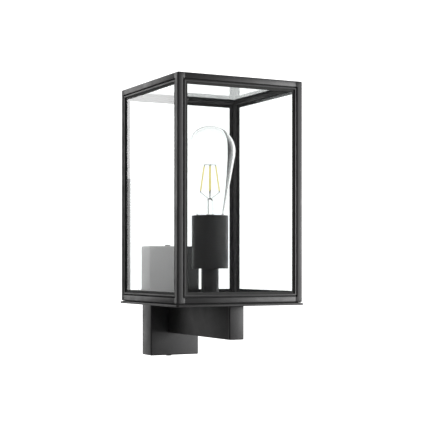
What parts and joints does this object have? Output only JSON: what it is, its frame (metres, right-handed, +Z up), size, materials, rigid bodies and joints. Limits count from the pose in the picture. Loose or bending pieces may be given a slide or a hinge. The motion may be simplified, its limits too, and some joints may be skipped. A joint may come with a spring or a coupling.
{
  "type": "outdoor wall lantern",
  "caption": "Outdoor wall lantern: a square glazed cage on an arm from a slim wall box, with a lampholder cup and a filament bulb.",
  "frame": {"origin": "on the wall plane, at the centre of the wall bracket's two screw slots", "axes": "+X to the right seen from the front, +Y into the wall, +Z up; the lantern reaches out along -Y"},
  "size_m": [0.172, 0.2165, 0.3467],
  "materials": {
    "powder_coat": "fine textured charcoal powder coat",
    "pane_glass": "clear float glass",
    "bulb_glass": "clear blown glass",
    "rubber": "matt black seal",
    "zinc_steel": "zinc plated",
    "cap_metal": "rolled bright metal",
    "brass": "plain brass",
    "ceramic": "unglazed white",
    "black_plastic": "moulded",
    "white_plastic": "moulded",
    "brown_lead": "insulated wire",
    "blue_lead": "insulated wire",
    "green_lead": "insulated wire",
    "black_glass": "black insulator glass",
    "filament": "yellow phosphor coating"
  },
  "bodies": {
    "root": {"wall_bracket": "zinc_steel", "bracket_ears": "zinc_steel", "wall_gasket": "rubber", "wall_box": "powder_coat", "box_screws": "powder_coat", "cable_grommet": "rubber", "terminal_block": "white_plastic", "terminal_screws": "brass", "earth_screw": "brass", "live_lead": "brown_lead", "neutral_lead": "blue_lead", "earth_lead": "green_lead", "arm_tube": "powder_coat", "arm_block": "zinc_steel", "arm_screws": "zinc_steel", "arm_end_cap": "powder_coat", "base_plate": "powder_coat", "base_screws": "zinc_steel", "base_nuts": "zinc_steel", "base_gasket": "rubber", "cage_screws": "powder_coat", "stem_tube": "powder_coat", "cable_tube": "brass", "tube_nuts": "brass", "lamp_cup": "powder_coat", "holder_body": "black_plastic", "holder_insert": "ceramic", "centre_contact": "brass", "holder_sleeve": "brass"},
    "cage": {"post_front_left": "powder_coat", "post_front_right": "powder_coat", "post_back_left": "powder_coat", "post_back_right": "powder_coat", "rail_top_front": "powder_coat", "rail_top_back": "powder_coat", "rail_top_left": "powder_coat", "rail_top_right": "powder_coat", "rail_bottom_front": "powder_coat", "rail_bottom_back": "powder_coat", "rail_bottom_left": "powder_coat", "rail_bottom_right": "powder_coat", "pane_front": "pane_glass", "pane_back": "pane_glass", "pane_left": "pane_glass", "pane_right": "pane_glass", "pane_roof": "pane_glass", "bead_front": "powder_coat", "bead_back": "powder_coat", "bead_left": "powder_coat", "bead_right": "powder_coat", "bead_roof": "powder_coat", "glazing_seals": "rubber"},
    "bulb_carrier": {"bulb_contact": "zinc_steel", "bulb_insulator": "black_glass"},
    "bulb": {"bulb_glass": "bulb_glass", "bulb_cap": "cap_metal", "bulb_mount": "bulb_glass", "filament_wires": "zinc_steel", "filaments": "filament"}
  },
  "joints": [
    {"name": "cage_lift", "type": "slide", "parent": "root", "child": "cage", "axis": [0, 0, 1], "range_m": [0, 0.3]},
    {"name": "bulb_lift", "type": "slide", "parent": "root", "child": "bulb_carrier", "axis": [0, 0, 1], "range_m": [0, 0.0182]},
    {"name": "bulb_turn", "type": "hinge", "parent": "bulb_carrier", "child": "bulb", "pos_m": [0, -0.1305, 0.08], "axis": [0, 0, 1], "range_deg": [0, 1800]}
  ],
  "couplings": [
    {"joint": "bulb_lift", "follows": "bulb_turn", "m_per_rad": 0.00057757}
  ]
}
